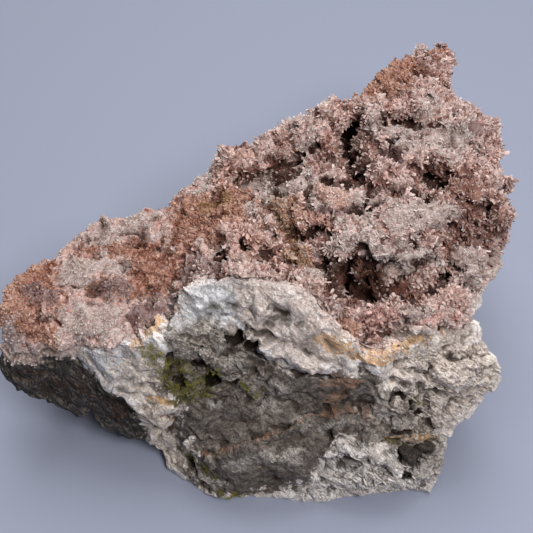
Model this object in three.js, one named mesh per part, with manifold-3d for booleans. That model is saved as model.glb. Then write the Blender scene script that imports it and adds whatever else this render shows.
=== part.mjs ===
// Calcite specimen: a wedge of fibrous grey-white calcite rock (the matrix) with a crust of pink bladed
// crystals and druse grown over its top. Millimetres, +Z up. The origin is under the middle of the whole
// piece, on its flat resting face. The long thin wing points to -X, the horn to +Y and the tall broken
// face looks to -Y.
import * as THREE from 'three';
import { ConvexGeometry } from 'three/addons/geometries/ConvexGeometry.js';
import { ImprovedNoise } from 'three/addons/math/ImprovedNoise.js';
import { MeshSurfaceSampler } from 'three/addons/math/MeshSurfaceSampler.js';
import { TessellateModifier } from 'three/addons/modifiers/TessellateModifier.js';
import { mergeVertices } from 'three/addons/utils/BufferGeometryUtils.js';
import Module from 'manifold-3d';

const wasm = await Module();
wasm.setup();
const { Manifold, Mesh } = wasm;
const { degToRad, lerp, seededRandom, smoothstep } = THREE.MathUtils;

// --- Driving dimensions ------------------------------------------------------------------------

const FACET = 21; // longest edge on the broken faces
const FACET_ROUNDS = 12; // most times that an edge is halved
const ROUGHNESS = [ { size: 30, reach: 3.2 }, { size: 12, reach: 1.8 } ]; // waves of the broken faces
const GAP = 0.4; // seam between the crust and the matrix under it
const DRUSE = { tries: 700, spacing: 7.5, length: 6, width: 5, thick: 4 }; // grains on the wing
const BLADES = { tries: 1400, spacing: 8.8, length: 9, width: 8, thick: 3 }; // coxcomb blades on the mass
const SEED = 7;
const SINK = 0.8; // how far a crystal's middle lies under the skin that it grows from

// --- Solids from geometry ----------------------------------------------------------------------

const noise = new ImprovedNoise();

// Moves a point by smooth noise, so that flat blocks become broken rock that still fits together.
function roughen( point ) {
  const moved = point.clone();
  for ( const { size, reach } of ROUGHNESS ) {
    const [ x, y, z ] = point.toArray().map( ( value ) => value / size );
    moved.x += reach * noise.noise( x + 11.3, y, z );
    moved.y += reach * noise.noise( x, y + 27.1, z );
    moved.z += reach * noise.noise( x, y, z + 41.7 );
  }
  return moved;
}

function toSolid( geometry, change = null ) {
  const bare = new THREE.BufferGeometry();
  bare.setAttribute( 'position', geometry.getAttribute( 'position' ) );
  bare.setIndex( geometry.index );
  const merged = mergeVertices( bare, 1e-3 );
  const position = merged.getAttribute( 'position' );
  const corner = new THREE.Vector3();
  for ( let i = 0; change && i < position.count; i ++ ) {
    position.setXYZ( i, ...change( corner.fromBufferAttribute( position, i ) ) );
  }
  const triVerts = new Uint32Array( merged.index.array );
  return new Manifold( new Mesh( { numProp: 3, vertProperties: position.array, triVerts } ) );
}

function toGeometry( solid ) {
  const { vertProperties, triVerts } = solid.getMesh();
  const geometry = new THREE.BufferGeometry();
  geometry.setAttribute( 'position', new THREE.BufferAttribute( vertProperties, 3 ) );
  geometry.setIndex( new THREE.BufferAttribute( triVerts, 1 ) );
  return geometry;
}

// --- Broken rock -------------------------------------------------------------------------------

// Each block is the convex rock between its corners.
const blocks = {
  keel: [ [ -33, -100, -3 ], [ -18, -110, -3 ], [ 3, -111, -3 ], [ 32, -103, -3 ],
    [ 61, -104, -3 ], [ -41, -91, 9 ], [ 64, -101, 12 ], [ -33, -83, 62 ], [ -21, -69, 74 ], [ -4, -69, 78 ], [ 12, -73, 75 ],
    [ 20, -83, 68 ], [ 32, -91, 61 ], [ 58, -80, 58 ], [ -30, -30, 62 ], [ 55, -20, 62 ],
    [ -30, -58, -3 ], [ -12, -28, -3 ], [ 24, -14, -3 ], [ 50, -36, -3 ], [ -34, -28, 24 ], [ 40, -4, 24 ] ],
  apron: [ [ -35, -83, 60 ], [ -26, -71, 75 ], [ -19, -69, 75 ], [ -4, -67, 80 ], [ 12, -71, 78 ],
    [ 20, -83, 69 ], [ 33, -91, 61 ], [ -32, -80, 57 ], [ -17, -80, 57 ], [ -7, -86, 54 ], [ 8, -87, 54 ],
    [ 21, -90, 53 ], [ 40, -93, 51 ], [ -20, -55, 50 ], [ 20, -55, 50 ] ],
  buttress: [ [ -63, -81, 58 ], [ -57, -88, 40 ], [ -47, -91, 38 ], [ -38, -93, 36 ], [ -33, -96, 26 ],
    [ -28, -92, 50 ], [ -34, -85, 60 ], [ -55, -85, 56 ], [ -40, -65, 30 ], [ -36, -60, 56 ] ],
  wing: [ [ -91, -65, 60 ], [ -90, -75, 56 ], [ -92, -78, 38 ], [ -87, -81, 34 ], [ -79, -85, 25 ],
    [ -66, -86, 21 ], [ -71, -82, 58 ], [ -55, -83, 60 ], [ -26, -85, 62 ], [ -86, -52, 61 ],
    [ -76, -44, 62 ], [ -60, -32, 65 ], [ -38, -27, 67 ], [ -80, -55, 31 ], [ -50, -35, 24 ],
    [ -14, -60, 66 ] ],
  root: [ [ -63, -87, 18 ], [ -53, -90, 12 ], [ -41, -93, 10 ], [ -28, -96, 7 ], [ -55, -83, 58 ],
    [ -26, -85, 60 ], [ -55, -50, 40 ], [ -50, -35, 24 ], [ -20, -24, 14 ], [ -14, -60, 60 ] ],
  knob: [ [ 50, -84, 60 ], [ 74, -75, 54 ], [ 79, -78, 47 ], [ 80, -81, 40 ], [ 78, -84, 36 ],
    [ 72, -88, 28 ], [ 66, -92, 19 ], [ 71, -65, 48 ], [ 74, -55, 30 ], [ 50, -50, 12 ],
    [ 35, -90, 58 ], [ 40, -101, 20 ] ],
  flank: [ [ 71, -65, 48 ], [ 74, -57, 50 ], [ 82, -44, 50 ], [ 90, -22, 60 ], [ 89, -6, 70 ], [ 84, 7, 74 ],
    [ 80, -35, 26 ], [ 78, -4, 32 ], [ 62, 10, 20 ], [ 60, -50, 8 ], [ 50, -40, 80 ], [ 60, 0, 82 ],
    [ 40, 0, 8 ], [ 30, -80, 56 ], [ 60, -68, 60 ] ],
  mass: [ [ 18, -60, 70 ], [ 40, -64, 68 ], [ 58, -62, 68 ], [ 74, -48, 62 ], [ 18, -56, 78 ],
    [ 40, -58, 80 ], [ 56, -54, 79 ], [ 21, -40, 84 ], [ 44, -38, 86 ], [ 64, -36, 82 ], [ 47, -15, 88 ],
    [ 68, -16, 85 ], [ 84, 6, 75 ], [ 77, 15, 76 ], [ 70, 14, 78 ], [ 41, 4, 86 ], [ 30, 8, 85 ],
    [ 14, -4, 80 ], [ 10, -10, 40 ], [ 72, 8, 44 ], [ 60, -50, 45 ], [ 6, -50, 40 ] ],
  saddle: [ [ -21, -64, 68 ], [ -4, -64, 72 ], [ 14, -62, 72 ], [ -5, -57, 75 ], [ -23, -43, 69 ],
    [ -41, -43, 64 ], [ -36, -24, 66 ], [ -22, -13, 70 ], [ 10, 0, 72 ], [ 17, -50, 80 ], [ 12, -32, 82 ],
    [ -30, -40, 30 ], [ 10, -40, 30 ], [ 30, -30, 84 ] ],
  crest: [ [ -24, -14, 71 ], [ -15, -9, 75 ], [ -9, -9, 75 ], [ 1, -10, 76 ], [ 11, 0, 83 ], [ 24, 5, 86 ],
    [ 34, 14, 84 ], [ -24, -20, 62 ], [ 26, 8, 45 ], [ -12, -16, 70 ], [ 12, -10, 78 ], [ 32, -4, 86 ],
    [ 0, -4, 44 ], [ 42, 10, 52 ] ],
  horn: [ [ 37, 12, 83 ], [ 52, 33, 78 ], [ 68, 60, 73 ], [ 76, 63, 71 ], [ 70, 42, 75 ], [ 70, 14, 79 ],
    [ 40, 6, 50 ], [ 66, 8, 38 ], [ 73, 54, 63 ], [ 60, 40, 57 ], [ 36, 0, 84 ], [ 60, 0, 84 ] ],
};

function block( corners ) {
  const hull = new ConvexGeometry( corners.map( ( corner ) => new THREE.Vector3( ...corner ) ) );
  return toSolid( new TessellateModifier( FACET, FACET_ROUNDS ).modify( hull ), roughen );
}

// Each bulge adds and each hollow takes away an angular lump: centre, half-axes, turn about Z in degrees.
const bulges = {
  faceKeel: [ [ 4, -99, 20 ], [ 38, 9, 18 ] ],
  ledge: [ [ -6, -88, 37 ], [ 30, 8, 5 ], 2 ],
  footEast: [ [ 42, -100, 14 ], [ 18, 10, 13 ] ],
  knobBoss: [ [ 64, -84, 44 ], [ 16, 6, 9 ], 12 ],
  fibresHigh: [ [ 30, -103, 17 ], [ 20, 4, 5 ], - 18 ],
  fibresLow: [ [ 31, -102, 9 ], [ 20, 4, 5 ], - 4 ],
  rib: [ [ 42, -9, 86 ], [ 4, 13, 5 ], - 8 ],
  backTop: [ [ 58, -3, 83 ], [ 19, 13, 8 ], 15 ],
  farRight: [ [ 68, -30, 74 ], [ 15, 16, 11 ], 60 ],
  rightEdge: [ [ 78, -32, 66 ], [ 10, 11, 12 ] ],
  rightSpur: [ [ 88, -15, 63 ], [ 6, 5, 4 ] ],
  front: [ [ 43, -50, 78 ], [ 17, 16, 11 ], 10 ],
  frontLeft: [ [ 27, -51, 78 ], [ 12, 11, 8 ] ],
  lowerRight: [ [ 68, -52, 59 ], [ 11, 10, 12 ], -20 ],
  arch: [ [ 21, -3, 81 ], [ 14, 8, 8 ], 30 ],
  archLeft: [ [ 9, -5, 77 ], [ 7, 7, 6 ], 30 ],
  middle: [ [ 27, -38, 82 ], [ 13, 9, 6 ], -10 ],
  spikes: [ [ 5, -41, 77 ], [ 10, 9, 6 ] ],
  saddleBack: [ [ 12, -27, 80 ], [ 13, 6, 5 ], 10 ],
  coral: [ [ -8, -53, 73 ], [ 9, 7, 9 ], 20 ],
  knobs: [ [ 8, -57, 73 ], [ 7, 6, 7 ] ],
  pebble: [ [ 21, -63, 68 ], [ 6, 5, 6 ] ],
  shelfStain: [ [ 28, -80, 60 ], [ 8, 6, 6 ] ],
  shelfPink: [ [ 39, -76, 61 ], [ 8, 7, 7 ] ],
  shelfDome: [ [ 51, -76, 61 ], [ 10, 8, 8 ] ],
  shelfRight: [ [ 62, -70, 59 ], [ 8, 8, 8 ] ],
  hornRoot: [ [ 50, 20, 81 ], [ 10, 8, 5 ], 50 ],
  hornTop: [ [ 67, 43, 74 ], [ 8, 5, 4 ], 55 ],
  fans: [ [ -13, -12, 72 ], [ 8, 4, 5 ], 30 ],
};

const hollows = {
  trough: [ [ -1, -20, 76 ], [ 19, 7.5, 13 ], 20 ],
  deepHole: [ [ 31, -10, 84 ], [ 8, 12, 19 ], -20 ],
  deepHoleFoot: [ [ 30, -22, 80 ], [ 11, 7, 15 ], -15 ],
  recess: [ [ 58, -30, 85 ], [ 12, 7, 12 ], 10 ],
  underFront: [ [ 36, -67, 66 ], [ 20, 10, 6 ], 4 ],
  slit: [ [ 59, -61, 67 ], [ 5, 12, 10 ], -35 ],
  sideSlit: [ [ 66, -46, 74 ], [ 9, 4, 8 ], 25 ],
  edgePit: [ [ 77, -38, 76 ], [ 6, 5, 8 ] ],
  underArch: [ [ 11, -14, 76 ], [ 9, 5, 7 ], 20 ],
  pit: [ [ 38, -38, 88 ], [ 7, 4.5, 7 ] ],
  westGully: [ [ -20, -44, 74 ], [ 6, 14, 6 ], 25 ],
  plateauStep: [ [ -44, -76, 65 ], [ 13, 10, 5 ] ],
  underBrow: [ [ -12, -95, 47 ], [ 22, 9, 8 ], 0 ],
  underRidge: [ [ 22, -99, 44 ], [ 24, 9, 9 ], -6 ],
  underLedge: [ [ 18, -106, 34 ], [ 24, 8, 8 ], 8 ],
  lowerHole: [ [ 52, -105, 15 ], [ 6, 9, 5 ] ],
  slot: [ [ 44, -95, 33 ], [ 6, 9, 3.2 ] ],
  upperHole: [ [ 56, -95, 28 ], [ 4, 6, 3.4 ] ],
  crestNotch: [ [ -4, -3, 79 ], [ 6, 7, 6 ] ],
};

const LUMP_CORNERS = 14;
const GOLDEN_ANGLE = 2.4;

// An angular lump is the hull of points strewn evenly over an ellipsoid from a fixed start.
function lump( [ centre, axes, turn = 0 ], start ) {
  const corners = [];
  for ( let i = 0; i < LUMP_CORNERS; i ++ ) {
    const height = 1 - ( 2 * i + 1 ) / LUMP_CORNERS;
    const ring = Math.sqrt( 1 - height * height );
    const angle = i * GOLDEN_ANGLE + start;
    corners.push( new THREE.Vector3( ring * Math.cos( angle ), ring * Math.sin( angle ), height ) );
  }
  const hull = new ConvexGeometry( corners ).scale( ...axes ).rotateZ( degToRad( turn ) );
  return toSolid( hull.translate( ...centre ), roughen );
}

// --- Crystals ----------------------------------------------------------------------------------

// Strews flat bipyramids over the skin of a solid, where `grows` says so. Each stands on edge, is turned
// and leans by chance, and keeps its distance from the ones before it.
function strew( ground, { tries, spacing, length, width, thick }, grows ) {
  const skin = new THREE.Mesh( toGeometry( ground ) );
  const sampler = new MeshSurfaceSampler( skin ).setRandomGenerator( seededRandom ).build();
  const up = new THREE.Vector3( 0, 0, 1 );
  const roots = [];
  const crystals = [];
  for ( let i = 0; i < tries; i ++ ) {
    const root = new THREE.Vector3();
    const normal = new THREE.Vector3();
    sampler.sample( root, normal );
    if ( ! grows( root, normal ) || roots.some( ( other ) => other.distanceTo( root ) < spacing ) ) continue;
    roots.push( root );
    const size = lerp( 0.75, 1.3, seededRandom() );
    const crystal = new THREE.OctahedronGeometry( size / 2 ).scale( length, thick, width );
    crystal.rotateX( lerp( - 0.8, 0.8, seededRandom() ) ).rotateZ( seededRandom() * Math.PI );
    const outward = new THREE.Quaternion().setFromUnitVectors( up, normal );
    crystal.translate( 0, 0, - SINK ).applyQuaternion( outward );
    crystals.push( toSolid( crystal.translate( ...root ) ) );
  }
  return crystals;
}

// --- Crust and matrix --------------------------------------------------------------------------

// Height of the seam. The crust is a thin sheet over the wing, thicker at the tip and much deeper to the
// right. It stops at the rim line, in front of which the bare matrix stands up as the apron.
function seam( x, y ) {
  const sheet = 57 + 0.1 * ( y + 70 ) + 0.08 * ( x + 60 );
  const tip = 9 * smoothstep( - x, 66, 88 );
  const flank = smoothstep( x, 10, 60 ) * ( 10 + 8 * smoothstep( y, - 75, - 50 ) );
  const east = 23 * smoothstep( x, 10, 28 ) - 6 * smoothstep( x, 40, 58 );
  const west = 22 * smoothstep( - x, 27, 34 ) + 12 * smoothstep( - x, 58, 68 );
  const rim = - 67 - east - west;
  const apron = 30 * ( 1 - smoothstep( y, rim - 5, rim + 5 ) );
  return sheet - tip - flank + apron;
}

const SEAM_STEP = 10.4; // spacing of the seam's vertices
const WING_END = - 20; // the druse sheet lies left of this, the bladed mass right of it
const AROUND = { x: 208, y: 208, top: 130, middle: [ 0, - 24 ] }; // a box that holds the whole rock

// Everything above the seam, as a box whose underside follows it.
function aboveSeam( drop ) {
  const { x, y, top, middle } = AROUND;
  const box = new THREE.BoxGeometry( x, y, top, x / SEAM_STEP, y / SEAM_STEP, 1 );
  box.translate( ...middle, top / 2 );
  return toSolid( box, ( p ) => roughen( p.z > 0 ? p : p.setZ( seam( p.x, p.y ) - drop ) ) );
}

seededRandom( SEED );
const floor = new THREE.BoxGeometry( AROUND.x, AROUND.y, AROUND.top );
floor.translate( ...AROUND.middle, - AROUND.top / 2 );
const lumps = Object.values( bulges ).map( lump );
const pits = Object.values( hollows ).map( lump );
let rock = Manifold.union( [ ...Object.values( blocks ).map( block ), ...lumps ] );
rock = rock.subtract( Manifold.union( [ ...pits, toSolid( floor ) ] ) );

const matrix = rock.subtract( aboveSeam( GAP ) );
const overhead = aboveSeam( 0 );
const bed = rock.intersect( overhead );
const free = ( root, normal ) => normal.z > - 0.2 && root.z > seam( root.x, root.y ) + BLADES.thick;
const druse = strew( bed, DRUSE, ( root, normal ) => free( root, normal ) && root.x < WING_END );
const blades = strew( bed, BLADES, ( root, normal ) => free( root, normal ) && root.x > WING_END );
const crust = Manifold.union( [ bed, ...druse, ...blades ] ).intersect( overhead );

// --- Specimen ----------------------------------------------------------------------------------

const specimen = new THREE.Group();

function addNode( name, solid, color, roughness ) {
  const material = new THREE.MeshStandardMaterial( { color, roughness, metalness: 0 } );
  const mesh = new THREE.Mesh( toGeometry( solid ), material );
  mesh.name = name;
  specimen.add( mesh );
}

addNode( 'matrix', matrix, 0xb9b3ae, 0.9 );
addNode( 'crystal_crust', crust, 0xc79a8c, 0.6 );

const middle = new THREE.Box3().setFromObject( specimen ).getCenter( new THREE.Vector3() );
specimen.position.set( - middle.x, - middle.y, 0 );

export default specimen;
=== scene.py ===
import math

import bmesh
import bpy
import numpy as np
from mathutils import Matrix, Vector, noise
from mathutils.bvhtree import BVHTree
from mathutils.kdtree import KDTree


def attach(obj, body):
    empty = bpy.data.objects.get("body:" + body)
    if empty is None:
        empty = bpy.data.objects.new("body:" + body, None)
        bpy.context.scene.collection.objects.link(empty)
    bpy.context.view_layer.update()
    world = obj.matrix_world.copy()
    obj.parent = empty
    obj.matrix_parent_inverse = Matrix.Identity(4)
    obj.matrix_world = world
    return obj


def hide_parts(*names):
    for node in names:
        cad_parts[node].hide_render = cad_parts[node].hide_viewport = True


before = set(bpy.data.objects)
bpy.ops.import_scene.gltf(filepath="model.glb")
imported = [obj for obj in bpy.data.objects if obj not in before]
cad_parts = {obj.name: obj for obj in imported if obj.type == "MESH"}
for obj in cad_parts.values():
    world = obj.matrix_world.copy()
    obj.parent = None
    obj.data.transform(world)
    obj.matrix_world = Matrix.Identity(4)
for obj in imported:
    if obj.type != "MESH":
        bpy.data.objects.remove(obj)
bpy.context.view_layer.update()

# --- Camera ------------------------------------------------------------------------------------
# A normal lens over the front edge of the table, looking about half down on the specimen.

MM = 0.001  # metres
EYE = Vector((0.5, -235.0, 308.0)) * MM  # the middle of the lens
DOWN = 50.0  # degrees below level
SENSOR = 36.0
LENS = 62.34

camera_data = bpy.data.cameras.new("camera")
camera_data.sensor_width = SENSOR
camera_data.lens = LENS
camera = bpy.data.objects.new("camera", camera_data)
camera.location = EYE
camera.rotation_euler = (math.radians(90 - DOWN), 0, 0)
bpy.context.scene.collection.objects.link(camera)
bpy.context.scene.camera = camera

# --- Calcite rock ------------------------------------------------------------------------------
# The matrix: a broken lump of chalky to grey calcite, grown in fibres that show on its faces. It
# weathers dark and dirty on the front face and stays bright where it broke along the top of it.

# Sizes in millimetres
ROCK_VOXEL = 0.75  # side of the skin's small even faces
RIM = 5.0  # how far the two solids' finishes blend across the line where they meet
TOUCHING = 0.9  # two skins nearer than this lie against each other
SOFT_EDGE = 4.0  # how far a patch fades each way from its outline
BAYS = 4.5  # size of the bays along a patch's ragged outline
LEDGE = 8.0  # a ledge's underside no further than this behind the skin in front takes the same zone
PIT_DEPTH = 1.5  # a groove or hole begins to take painted shade at this depth, and is painted dark at twice that
FOOT = 2.0  # the rock keeps its true shape at the table, and takes all its relief from this height

RAGGED = 0.8  # how far the bays eat into a patch, as a share of its fade
MOST_FACES = 190000  # triangles of one skin, once its hidden side is thinned
PLANE = 533.0  # side of the square view plane that the zones' places (u, v) lie in
STEP_ALONG = 6.0  # spacing of a stroke's points along its path, in that plane

# Each zone is a list of strokes. A stroke is its half-width in millimetres and its path. A stroke of
# half-width 0 is a patch, and its path is the patch's outline.
ROCK_ZONES = {
    "weathered": [
        (0, [(168, 342), (184, 335), (206, 325), (228, 329), (244, 333), (256, 347), (268, 360), (290, 371),
             (330, 373), (372, 374), (388, 385), (380, 398), (350, 402), (372, 420), (385, 440), (345, 436),
             (325, 448), (318, 468), (290, 488), (240, 496), (205, 490), (188, 470), (200, 450), (176, 430),
             (182, 408), (164, 392)]),
        (5, [(392, 440), (412, 448)]),
    ],
    "craggy": [
        (0, [(164, 334), (200, 326), (240, 328), (264, 344), (262, 372), (246, 392), (206, 392), (176, 386),
             (156, 366)]),
        (0, [(352, 398), (384, 386), (414, 392), (440, 420), (448, 470), (412, 482), (392, 452), (366, 440),
             (344, 424)]),
        (0, [(180, 462), (210, 460), (222, 480), (205, 494), (184, 480)]),
    ],
    # the wing's underside: dark rock of its own, painted near black as well for the shade under the overhang
    "underside": [
        (0, [(-20, 325), (30, 345), (62, 346), (82, 362), (100, 382), (128, 396), (142, 412), (152, 446),
             (120, 446), (60, 420), (-20, 390)]),
    ],
    "ochre": [
        (1.7, [(322, 340), (336, 347), (352, 355), (368, 361), (388, 354), (410, 345), (440, 334)]),
        (1.8, [(334, 338), (346, 346)]),
        (2.2, [(138, 338), (148, 332), (160, 327)]),
        (1.2, [(150, 398), (172, 404)]),
        (1.0, [(390, 440), (430, 436)]),
    ],
    "rusty": [
        (1.3, [(196, 458), (215, 453), (245, 445), (262, 437), (300, 422), (335, 408)]),
        (3.6, [(322, 378), (345, 385), (330, 396)]),
        (1.4, [(168, 415), (175, 428)]),
        (1.6, [(345, 408), (360, 416)]),
    ],
    "mossy": [
        (4.4, [(168, 368), (186, 386), (204, 382), (212, 374)]),
        (3.0, [(172, 384), (182, 398)]),
        (2.2, [(150, 352), (156, 366), (160, 384)]),
        (2.4, [(182, 452), (198, 462), (214, 470)]),
        (1.6, [(224, 490), (240, 496)]),
        (1.4, [(246, 380), (262, 386)]),
        (1.2, [(418, 398), (428, 408)]),
        (1.4, [(388, 440), (404, 446)]),
    ],
    "fan": [
        (0, [(322, 452), (345, 438), (390, 455), (430, 470), (435, 490), (330, 500), (300, 496), (318, 470)]),
    ],
    "chalk": [
        (0, [(160, 338), (166, 306), (186, 280), (226, 281), (232, 268), (258, 268), (286, 274), (304, 286),
             (320, 298), (330, 326), (350, 350), (334, 370), (306, 373), (282, 367), (262, 353), (250, 337),
             (228, 326), (204, 322), (182, 332), (170, 340)]),
        (0, [(58, 334), (96, 338), (130, 340), (166, 338), (172, 352), (160, 366), (148, 384), (132, 392),
             (112, 376), (96, 364), (78, 352), (58, 348)]),
    ],
    "cream": [
        (0, [(228, 264), (258, 266), (286, 272), (306, 286), (322, 298), (332, 326), (350, 350), (334, 368),
             (304, 371), (278, 362), (260, 343), (246, 326), (236, 300)]),
    ],
    "slate": [
        (1.5, [(214, 305), (223, 310)]),
        (1.0, [(228, 310), (234, 308)]),
        (1.5, [(269, 306), (280, 312)]),
        (1.2, [(273, 318), (287, 322)]),
        (0.9, [(300, 321), (308, 323)]),
        (0.8, [(241, 290), (255, 290)]),
    ],
    "buttress": [
        (0, [(110, 356), (160, 348), (168, 390), (180, 410), (178, 430), (200, 452), (186, 470), (170, 468),
             (152, 440), (140, 408), (122, 384)]),
    ],
    "knob": [
        (0, [(395, 352), (440, 338), (490, 345), (500, 372), (488, 398), (440, 424), (392, 410)]),
    ],
    "fibrous": [
        (0, [(256, 388), (290, 384), (298, 402), (280, 414), (260, 410)]),
        (2.4, [(224, 350), (240, 366)]),
        (2.4, [(184, 340), (198, 331), (212, 330)]),
        (1.8, [(178, 352), (190, 358), (204, 360)]),
        (1.6, [(206, 372), (226, 374), (244, 370)]),
        (3.2, [(236, 466), (262, 456), (290, 462)]),
        (1.8, [(294, 418), (308, 426)]),
        (2.0, [(204, 474), (228, 480)]),
        (1.6, [(212, 404), (222, 414)]),
        (1.8, [(326, 430), (338, 422)]),
    ],
    "umber": [
        (1.6, [(58, 382), (84, 388), (104, 396), (124, 412)]),
        (1.2, [(20, 366), (50, 372)]),
    ],
}
# Grooves, holes and ribs: half-width and depth in millimetres, and the path. A rib's depth is below 0.
ROCK_CARVING = [
    (1.8, 5.0, [(210, 380), (215, 377)]),
    (1.4, 3.0, [(180, 340), (190, 346), (199, 352)]),
    (1.6, 3.0, [(250, 350), (257, 346)]),
    (1.8, 3.0, [(190, 368), (204, 372)]),
    (2.4, 1.4, [(312, 493), (324, 491), (336, 494)]),
    (1.2, 2.5, [(170, 418)]),
    (1.2, 2.5, [(236, 392), (256, 391)]),
    (1.0, 2.0, [(368, 442)]),
    (1.8, 4.5, [(403, 472), (407, 481)]),
    (2.4, 6.0, [(401, 460), (410, 457), (418, 455)]),
    (1.2, 3.0, [(418, 455), (427, 449)]),
    (1.7, 4.5, [(386, 399), (394, 395), (401, 397)]),
    (1.5, 3.5, [(380, 426), (392, 432), (408, 436)]),
    (1.4, 4.0, [(412, 408), (424, 414)]),
    (1.2, 3.5, [(440, 430), (446, 440)]),
    (1.5, 3.0, [(431, 404), (434, 416)]),
    (0.9, 1.4, [(269, 306), (280, 312)]),
    (0.8, 1.2, [(275, 318), (288, 322)]),
    (0.8, 1.2, [(214, 305), (222, 309)]),
    (1.6, 3.4, [(226, 344), (236, 347), (239, 338)]),
    (1.6, 2.4, [(258, 356), (268, 364), (282, 369), (308, 376), (336, 378)]),
    (0.9, 1.9, [(246, 328), (262, 331), (275, 338), (292, 346), (308, 350), (325, 360)]),
    (1.8, 2.4, [(168, 352), (178, 372), (186, 388)]),
    (1.6, 2.0, [(214, 400), (240, 404), (262, 400)]),
    (1.5, 1.8, [(186, 444), (206, 444), (224, 440)]),
    (1.2, 1.6, [(206, 452), (232, 446), (262, 432), (296, 418), (322, 406)]),
    (1.4, 2.6, [(192, 464), (196, 472)]),
    (1.4, 1.5, [(322, 400), (334, 416), (330, 432), (318, 452)]),
    (1.3, 2.0, [(312, 470), (326, 480), (332, 490)]),
    (1.4, -1.4, [(204, 461), (232, 452), (264, 440), (298, 424)]),
    (2.0, -1.8, [(206, 386), (228, 390), (250, 384), (262, 374)]),
    (1.8, -1.3, [(258, 340), (276, 352), (300, 360), (322, 364)]),
    (1.2, 2.2, [(248, 384), (230, 388), (214, 386)]),
    (1.2, 2.2, [(268, 362), (278, 372), (292, 382)]),
    (1.6, -1.4, [(170, 336), (180, 346), (176, 360)]),
    (1.4, -1.4, [(340, 446), (360, 452), (384, 464), (396, 478)]),
    (1.4, -1.4, [(396, 378), (424, 384), (452, 392), (470, 392)]),
]


def read(items, name, width=1):
    """One property of every item of a mesh, as an array."""
    flat = np.empty(len(items) * width, np.float32)
    items.foreach_get(name, flat)
    return flat.reshape(-1, width) if width > 1 else flat


def solid_faces(*nodes):
    """The faces of these nodes' solids, for finding the nearest of them or the first along a line."""
    places, faces = [], []
    for node in nodes:
        solid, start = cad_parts[node].data, len(places)
        places += [vertex.co.copy() for vertex in solid.vertices]
        faces += [[start + i for i in polygon.vertices] for polygon in solid.polygons]
    return BVHTree.FromPolygons(places, faces)


surface = solid_faces(*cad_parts)


def on_rock(u, v):
    """Where the line of sight through a place on the view plane meets the specimen."""
    ray = Vector(((u / PLANE - 0.5) * SENSOR, (0.5 - v / PLANE) * SENSOR, -LENS))
    ray.rotate(camera.rotation_euler)
    return surface.ray_cast(EYE, ray.normalized())[0]


def along(points, reach, path):
    """1 on the path, 0.5 at its half-width and 0 at twice that."""
    best = np.zeros(len(points), np.float32)
    track = [path[0]]
    for (u0, v0), (u1, v1) in zip(path, path[1:]):
        count = max(1, round(math.hypot(u1 - u0, v1 - v0) / STEP_ALONG))
        track += [(u0 + (u1 - u0) * i / count, v0 + (v1 - v0) * i / count) for i in range(1, count + 1)]
    for u, v in track:
        spot = on_rock(u, v)
        if spot:
            away = np.linalg.norm(points - np.array(spot, np.float32), axis=1)
            best = np.maximum(best, 1 - away / (2 * reach * MM))
    return best


def shown(points, normals):
    """1 on skin that faces the lens or lies close behind what does, and 0 on the far side."""
    sight = points - np.array(EYE)
    facing = -(sight * normals).sum(1) / np.linalg.norm(sight, axis=1)
    level = np.clip(facing / 0.25 + 0.8, 0, 1)  # full till just before edge-on, none from 12 degrees past it
    for i in np.flatnonzero(level < 1):
        way = Vector(sight[i])
        first = surface.ray_cast(EYE, way.normalized())[3]
        if first and first > way.length - LEDGE * MM:
            level[i] = 1
    return level


def within(points, outline):
    """1 well inside the outline, as the lens sees it, 0.5 on it and 0 well outside."""
    turn = np.array(camera.rotation_euler.to_matrix())
    seen = (points - np.array(EYE)) @ turn
    plane = (seen[:, :2] * (1, -1) / -seen[:, 2:] * LENS / SENSOR + 0.5) * PLANE
    nearest = np.full(len(points), 1e9)
    odd = np.zeros(len(points), bool)
    for (u0, v0), (u1, v1) in zip(outline, outline[1:] + outline[:1]):
        side = np.array((u1 - u0, v1 - v0), float)
        share = np.clip((plane - (u0, v0)) @ side / (side @ side), 0, 1)
        nearest = np.minimum(nearest, np.linalg.norm(plane - (u0, v0) - share[:, None] * side, axis=1))
        crosses = (v0 > plane[:, 1]) != (v1 > plane[:, 1])
        odd ^= crosses & (plane[:, 0] < u0 + (plane[:, 1] - v0) * (u1 - u0) / ((v1 - v0) or 1e-9))
    size = -seen[:, 2] * SENSOR / LENS / PLANE / MM  # millimetres to a unit of the plane
    return np.clip(0.5 + np.where(odd, nearest, -nearest) * size / (2 * SOFT_EDGE), 0, 1)


FADING, FINER, LAYERS = 0.7, 2.1, 3  # how fast the finer waves fade, how much finer each is, how many


def waves(points, size):
    """Perlin noise about 0, for features of this size in millimetres."""
    return np.array([noise.fractal(Vector(point) / (size * MM), FADING, FINER, LAYERS) for point in points])


def store_zones(mesh, zones):
    """Keeps each zone on the mesh, with its outline made ragged."""
    points, normals = read(mesh.vertices, "co", 3), read(mesh.vertex_normals, "vector", 3)
    ragged, front = waves(points, BAYS), shown(points, normals)
    for zone, strokes in zones.items():
        layers = [along(points, reach, path) if reach else front * within(points, path) for reach, path in strokes]
        level = np.clip(np.max(layers, axis=0), 0, 1)
        halfway = 1 - np.abs(2 * level - 1)
        store(mesh, zone, np.clip(level + RAGGED * ragged * halfway, 0, 1))


def store(mesh, name, values):
    """Keeps a value for each point of the mesh, as an attribute."""
    layer = mesh.attributes.get(name) or mesh.attributes.new(name, "FLOAT", "POINT")
    layer.data.foreach_set("value", np.ascontiguousarray(values, np.float32))


def add(tree, kind, links=None, **settings):
    """Adds a node. A link's source is a socket, a node (its first output) or a plain value."""
    node = tree.nodes.new(kind)
    for name, value in settings.items():
        setattr(node, name, value)
    for socket, source in (links or {}).items():
        if isinstance(source, bpy.types.Node):
            source = source.outputs[0]
        if isinstance(source, bpy.types.NodeSocket):
            tree.links.new(source, node.inputs[socket])
        else:
            node.inputs[socket].default_value = source
    return node


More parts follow.
